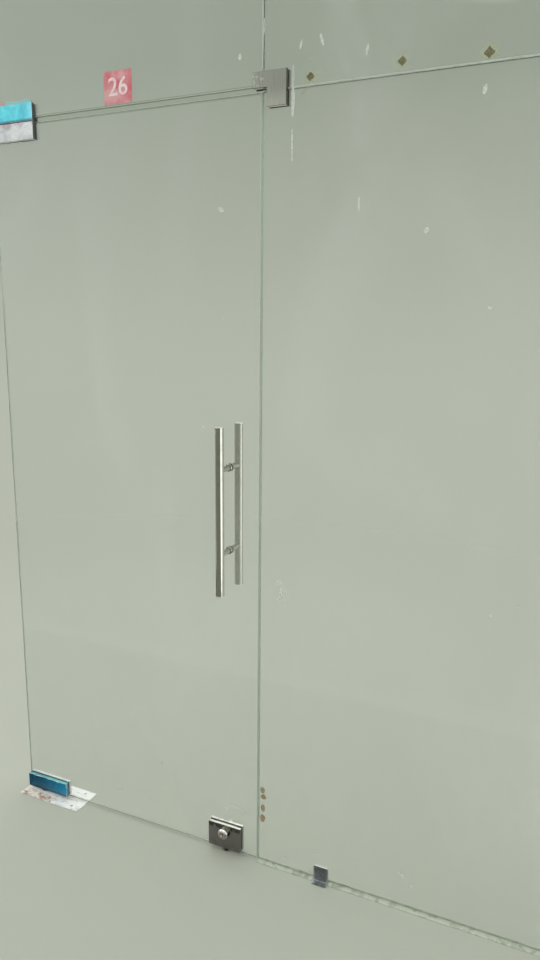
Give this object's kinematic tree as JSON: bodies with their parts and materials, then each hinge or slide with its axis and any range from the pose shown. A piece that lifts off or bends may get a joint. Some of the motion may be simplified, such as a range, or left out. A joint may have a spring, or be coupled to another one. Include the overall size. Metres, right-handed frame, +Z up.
{
  "type": "glass entrance door",
  "caption": "Frameless glass entrance: a leaf that swings both ways on a floor spring, a pane above it and a fixed sidelight, with clamp fittings, pull handles and a floor lock.",
  "frame": {"origin": "on the leaf's pivot axis at the finished floor, in the middle of the glass", "axes": "+X towards the sidelight, +Y into the building, +Z up"},
  "size_m": [1.9, 0.145, 2.66],
  "materials": {
    "clear_glass": "clear float glass with green ground edges",
    "channel_aluminium": "satin anodised",
    "glazing_rubber": "matt extruded rubber",
    "block_plastic": "matt",
    "clear_silicone": "translucent sealant",
    "floor_sealant": "off-white sealant with dirt",
    "cast_fitting": "as cast",
    "polished_steel": "mirror polished stainless steel",
    "satin_steel": "satin stainless steel",
    "screw_steel": "plain stainless screws",
    "protective_film": "blue protective film, wrinkled and lifting",
    "gasket_fibre": "matt sheet",
    "nylon": "natural nylon",
    "pivot_bronze": "turned bronze",
    "closer_iron": "grey painted casting",
    "box_steel": "zinc-coated sheet",
    "lock_brass": "nickel-plated brass",
    "sticker_vinyl": "red vinyl"
  },
  "bodies": {
    "root": {"overpanel_glass": "clear_glass", "sidelight_lower_glass": "clear_glass", "sidelight_upper_glass": "clear_glass", "ceiling_channel": "channel_aluminium", "overpanel_wall_channel": "channel_aluminium", "sidelight_wall_channel": "channel_aluminium", "floor_channel": "channel_aluminium", "glazing_strips": "glazing_rubber", "setting_blocks": "block_plastic", "joint_silicone": "clear_silicone", "floor_silicone": "floor_sealant", "corner_patch_front": "polished_steel", "corner_patch_back": "polished_steel", "corner_patch_gaskets": "gasket_fibre", "corner_patch_screws": "screw_steel", "overpanel_patch_body": "cast_fitting", "overpanel_patch_clamp": "cast_fitting", "overpanel_patch_covers": "satin_steel", "overpanel_patch_gaskets": "gasket_fibre", "overpanel_patch_screws": "screw_steel", "overpanel_patch_film": "protective_film", "top_pivot_pin": "screw_steel", "floor_box": "box_steel", "closer_body": "closer_iron", "closer_valve_screws": "screw_steel", "cover_plate": "satin_steel", "cover_plate_screws": "screw_steel", "bolt_strike": "satin_steel", "floor_clip": "satin_steel", "floor_clip_pad": "nylon", "floor_clip_screw": "screw_steel", "number_sticker": "sticker_vinyl"},
    "door": {"door_glass": "clear_glass", "bottom_patch_body": "cast_fitting", "bottom_patch_clamp": "cast_fitting", "bottom_patch_covers": "satin_steel", "bottom_patch_gaskets": "gasket_fibre", "bottom_patch_film": "protective_film", "bottom_patch_socket": "screw_steel", "closer_spindle": "screw_steel", "top_patch_body": "cast_fitting", "top_patch_clamp": "cast_fitting", "top_patch_covers": "satin_steel", "top_patch_gaskets": "gasket_fibre", "top_patch_bush": "pivot_bronze", "leaf_patch_screws": "screw_steel", "handle_tube_front": "polished_steel", "handle_tube_back": "polished_steel", "handle_end_caps": "polished_steel", "handle_standoffs": "polished_steel", "handle_washers": "nylon", "handle_bolts": "screw_steel", "handle_grub_screws": "screw_steel", "lock_case": "polished_steel", "lock_front_plate": "polished_steel", "lock_gaskets": "gasket_fibre", "lock_screws": "screw_steel"},
    "bolt": {"lock_bolt": "screw_steel"},
    "cylinder": {"lock_cylinder": "lock_brass", "thumb_turn": "satin_steel"}
  },
  "joints": [
    {"name": "door_swing", "type": "hinge", "parent": "root", "child": "door", "pos_m": [0, 0, 0], "axis": [0, 0, 1], "range_deg": [-90, 90], "stiffness_Nm_per_rad": 13},
    {"name": "lock_turn", "type": "hinge", "parent": "door", "child": "cylinder", "pos_m": [0.7225, 0, 0.065], "axis": [0, 1, 0], "range_deg": [0, 180]},
    {"name": "bolt_throw", "type": "slide", "parent": "door", "child": "bolt", "axis": [0, 0, -1], "range_m": [0, 0.016]}
  ],
  "couplings": [
    {"joint": "lock_turn", "follows": "bolt_throw", "rad_per_m": 196.35}
  ]
}
